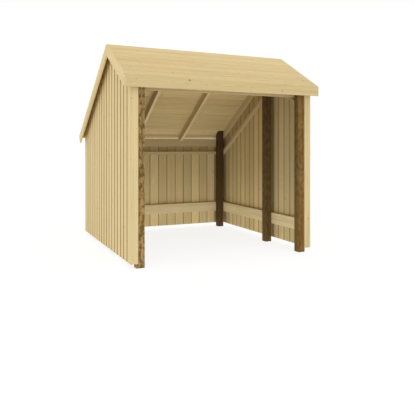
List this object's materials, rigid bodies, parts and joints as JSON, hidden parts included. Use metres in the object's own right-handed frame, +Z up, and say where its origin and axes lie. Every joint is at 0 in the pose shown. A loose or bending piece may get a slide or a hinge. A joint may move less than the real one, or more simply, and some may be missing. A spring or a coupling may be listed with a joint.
{
  "type": "bike shelter",
  "caption": "Open-fronted timber bike shelter on square posts, with vertical board cladding on three sides and a double-pitched board roof whose back slope is long and low.",
  "frame": {"origin": "on the ground, at the middle of the roof's plan", "axes": "+Z up, -Y towards the open front, +X to the right when looking in through the open front, +Y along the roof's fall from the ridge to the low back eave"},
  "size_m": [2.35, 2.47, 2.418],
  "materials": {
    "posts": "matte",
    "cladding": "matte",
    "trims": "matte",
    "frame": "matte",
    "roof_boards": "matte"
  },
  "bodies": {
    "root": {"front_left_post": "posts", "front_right_post": "posts", "middle_left_post": "posts", "middle_right_post": "posts", "back_left_post": "posts", "back_right_post": "posts", "left_wall": "cladding", "right_wall": "cladding", "back_wall": "cladding", "left_trim": "trims", "right_trim": "trims", "left_lower_rail": "frame", "right_lower_rail": "frame", "back_lower_rail": "frame", "back_upper_rail": "frame", "front_left_side_rail": "frame", "front_right_side_rail": "frame", "back_left_side_rail": "frame", "back_right_side_rail": "frame", "front_beam": "frame", "ridge_beam": "frame", "back_beam": "frame", "front_rafter_1": "frame", "front_rafter_2": "frame", "front_rafter_3": "frame", "front_rafter_4": "frame", "back_rafter_1": "frame", "back_rafter_2": "frame", "back_rafter_3": "frame", "back_rafter_4": "frame", "front_roof": "roof_boards", "back_roof": "roof_boards", "front_left_barge": "trims", "front_right_barge": "trims", "back_left_barge": "trims", "back_right_barge": "trims", "front_fascia": "trims"}
  },
  "joints": []
}
